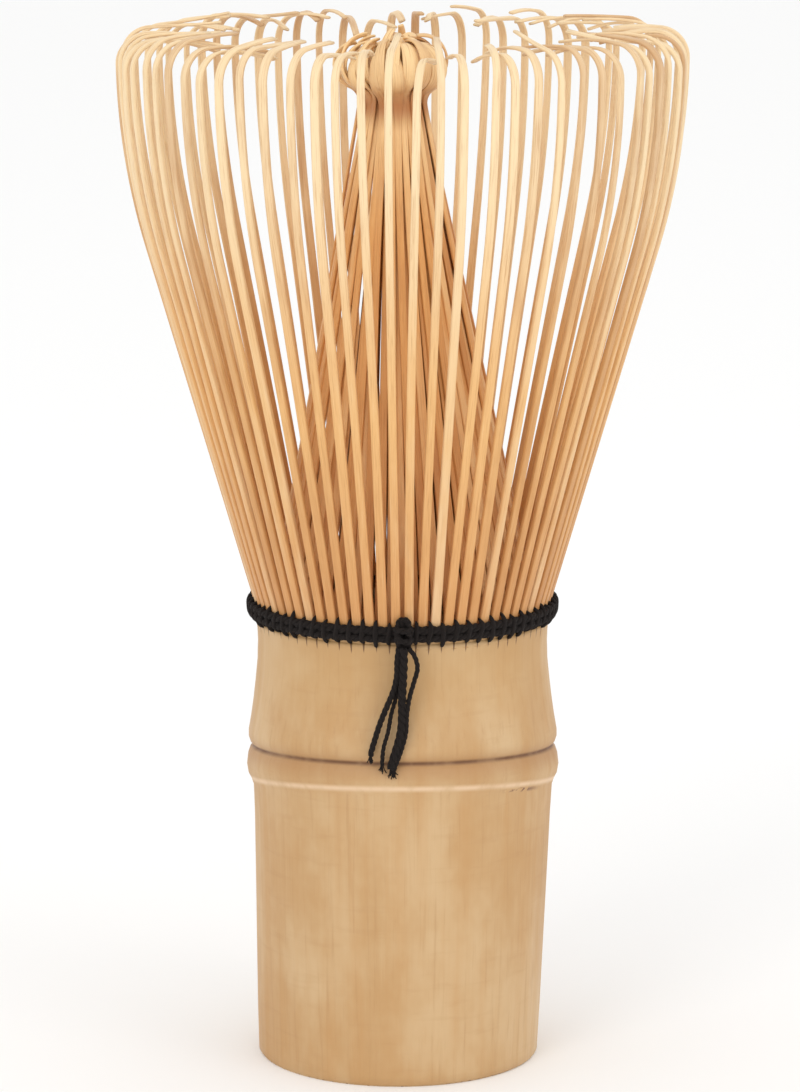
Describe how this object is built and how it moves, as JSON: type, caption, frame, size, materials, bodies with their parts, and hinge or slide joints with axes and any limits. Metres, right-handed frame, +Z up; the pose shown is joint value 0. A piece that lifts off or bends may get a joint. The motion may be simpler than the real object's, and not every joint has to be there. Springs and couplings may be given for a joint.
{
  "type": "bamboo tea whisk",
  "caption": "Hand whisk carved from one length of bamboo: hollow handle, a ring of springy curled outer tines, an inner cone of tines, and a woven thread with a knot.",
  "frame": {"origin": "centre of the foot, on the surface the whisk stands on", "axes": "+Z up along the culm towards the tines, -Y towards the front, where the thread is knotted, +X to the right seen from the front"},
  "size_m": [0.0608, 0.0608, 0.1112],
  "materials": {
    "bamboo": "dry, silky bamboo skin",
    "outer_tines": "split bamboo, paler at the tips",
    "inner_tines": "split bamboo",
    "thread": "black twisted cotton"
  },
  "bodies": {
    "culm": {"culm": "bamboo", "thread_ring": "thread", "thread_lower_row": "thread", "thread_upper_row": "thread", "thread_stitches": "thread", "thread_knot": "thread"},
    "inner_bundle": {"inner_tines_01": "inner_tines", "inner_tines_02": "inner_tines", "inner_tines_03": "inner_tines", "inner_tines_04": "inner_tines", "inner_tines_05": "inner_tines", "inner_tines_06": "inner_tines", "inner_tines_07": "inner_tines", "inner_tines_08": "inner_tines", "inner_tines_09": "inner_tines", "inner_tines_10": "inner_tines", "inner_tines_11": "inner_tines", "inner_tines_12": "inner_tines", "inner_tines_13": "inner_tines", "inner_tines_14": "inner_tines", "inner_tines_15": "inner_tines", "inner_tines_16": "inner_tines", "inner_tines_17": "inner_tines", "inner_tines_18": "inner_tines"},
    "thread_tail": {"tail_strand_main": "thread", "tail_strand_loop": "thread", "tail_strand_left": "thread", "tail_strand_middle": "thread"},
    "outer_section_01": {"outer_tines_01": "outer_tines"},
    "outer_section_02": {"outer_tines_02": "outer_tines"},
    "outer_section_03": {"outer_tines_03": "outer_tines"},
    "outer_section_04": {"outer_tines_04": "outer_tines"},
    "outer_section_05": {"outer_tines_05": "outer_tines"},
    "outer_section_06": {"outer_tines_06": "outer_tines"},
    "outer_section_07": {"outer_tines_07": "outer_tines"},
    "outer_section_08": {"outer_tines_08": "outer_tines"},
    "outer_section_09": {"outer_tines_09": "outer_tines"},
    "outer_section_10": {"outer_tines_10": "outer_tines"},
    "outer_section_11": {"outer_tines_11": "outer_tines"},
    "outer_section_12": {"outer_tines_12": "outer_tines"},
    "outer_section_13": {"outer_tines_13": "outer_tines"},
    "outer_section_14": {"outer_tines_14": "outer_tines"},
    "outer_section_15": {"outer_tines_15": "outer_tines"},
    "outer_section_16": {"outer_tines_16": "outer_tines"},
    "outer_section_17": {"outer_tines_17": "outer_tines"},
    "outer_section_18": {"outer_tines_18": "outer_tines"}
  },
  "joints": [
    {"name": "flex_section_01", "type": "hinge", "parent": "culm", "child": "outer_section_01", "pos_m": [0, -0.01575, 0.0494], "axis": [1, 0, 0], "range_deg": [-3, 4], "stiffness_Nm_per_rad": 0.02},
    {"name": "flex_section_02", "type": "hinge", "parent": "culm", "child": "outer_section_02", "pos_m": [0.00539, -0.0148, 0.0494], "axis": [0.9397, 0.342, 0], "range_deg": [-3, 4], "stiffness_Nm_per_rad": 0.02},
    {"name": "flex_section_03", "type": "hinge", "parent": "culm", "child": "outer_section_03", "pos_m": [0.01012, -0.01207, 0.0494], "axis": [0.766, 0.6428, 0], "range_deg": [-3, 4], "stiffness_Nm_per_rad": 0.02},
    {"name": "flex_section_04", "type": "hinge", "parent": "culm", "child": "outer_section_04", "pos_m": [0.01364, -0.00788, 0.0494], "axis": [0.5, 0.866, 0], "range_deg": [-3, 4], "stiffness_Nm_per_rad": 0.02},
    {"name": "flex_section_05", "type": "hinge", "parent": "culm", "child": "outer_section_05", "pos_m": [0.01551, -0.00274, 0.0494], "axis": [0.1736, 0.9848, 0], "range_deg": [-3, 4], "stiffness_Nm_per_rad": 0.02},
    {"name": "flex_section_06", "type": "hinge", "parent": "culm", "child": "outer_section_06", "pos_m": [0.01551, 0.00274, 0.0494], "axis": [-0.1736, 0.9848, 0], "range_deg": [-3, 4], "stiffness_Nm_per_rad": 0.02},
    {"name": "flex_section_07", "type": "hinge", "parent": "culm", "child": "outer_section_07", "pos_m": [0.01364, 0.00788, 0.0494], "axis": [-0.5, 0.866, 0], "range_deg": [-3, 4], "stiffness_Nm_per_rad": 0.02},
    {"name": "flex_section_08", "type": "hinge", "parent": "culm", "child": "outer_section_08", "pos_m": [0.01012, 0.01207, 0.0494], "axis": [-0.766, 0.6428, 0], "range_deg": [-3, 4], "stiffness_Nm_per_rad": 0.02},
    {"name": "flex_section_09", "type": "hinge", "parent": "culm", "child": "outer_section_09", "pos_m": [0.00539, 0.0148, 0.0494], "axis": [-0.9397, 0.342, 0], "range_deg": [-3, 4], "stiffness_Nm_per_rad": 0.02},
    {"name": "flex_section_10", "type": "hinge", "parent": "culm", "child": "outer_section_10", "pos_m": [0, 0.01575, 0.0494], "axis": [-1, 0, 0], "range_deg": [-3, 4], "stiffness_Nm_per_rad": 0.02},
    {"name": "flex_section_11", "type": "hinge", "parent": "culm", "child": "outer_section_11", "pos_m": [-0.00539, 0.0148, 0.0494], "axis": [-0.9397, -0.342, 0], "range_deg": [-3, 4], "stiffness_Nm_per_rad": 0.02},
    {"name": "flex_section_12", "type": "hinge", "parent": "culm", "child": "outer_section_12", "pos_m": [-0.01012, 0.01207, 0.0494], "axis": [-0.766, -0.6428, 0], "range_deg": [-3, 4], "stiffness_Nm_per_rad": 0.02},
    {"name": "flex_section_13", "type": "hinge", "parent": "culm", "child": "outer_section_13", "pos_m": [-0.01364, 0.00788, 0.0494], "axis": [-0.5, -0.866, 0], "range_deg": [-3, 4], "stiffness_Nm_per_rad": 0.02},
    {"name": "flex_section_14", "type": "hinge", "parent": "culm", "child": "outer_section_14", "pos_m": [-0.01551, 0.00274, 0.0494], "axis": [-0.1736, -0.9848, 0], "range_deg": [-3, 4], "stiffness_Nm_per_rad": 0.02},
    {"name": "flex_section_15", "type": "hinge", "parent": "culm", "child": "outer_section_15", "pos_m": [-0.01551, -0.00274, 0.0494], "axis": [0.1736, -0.9848, 0], "range_deg": [-3, 4], "stiffness_Nm_per_rad": 0.02},
    {"name": "flex_section_16", "type": "hinge", "parent": "culm", "child": "outer_section_16", "pos_m": [-0.01364, -0.00788, 0.0494], "axis": [0.5, -0.866, 0], "range_deg": [-3, 4], "stiffness_Nm_per_rad": 0.02},
    {"name": "flex_section_17", "type": "hinge", "parent": "culm", "child": "outer_section_17", "pos_m": [-0.01012, -0.01207, 0.0494], "axis": [0.766, -0.6428, 0], "range_deg": [-3, 4], "stiffness_Nm_per_rad": 0.02},
    {"name": "flex_section_18", "type": "hinge", "parent": "culm", "child": "outer_section_18", "pos_m": [-0.00539, -0.0148, 0.0494], "axis": [0.9397, -0.342, 0], "range_deg": [-3, 4], "stiffness_Nm_per_rad": 0.02},
    {"name": "bundle_sway", "type": "hinge", "parent": "culm", "child": "inner_bundle", "pos_m": [0, 0, 0.0494], "axis": [1, 0, 0], "range_deg": [-2.5, 2.5], "stiffness_Nm_per_rad": 0.1},
    {"name": "tail_lift", "type": "hinge", "parent": "culm", "child": "thread_tail", "pos_m": [0.0001, -0.01735, 0.04795], "axis": [-1, 0, 0], "range_deg": [0, 65]}
  ]
}
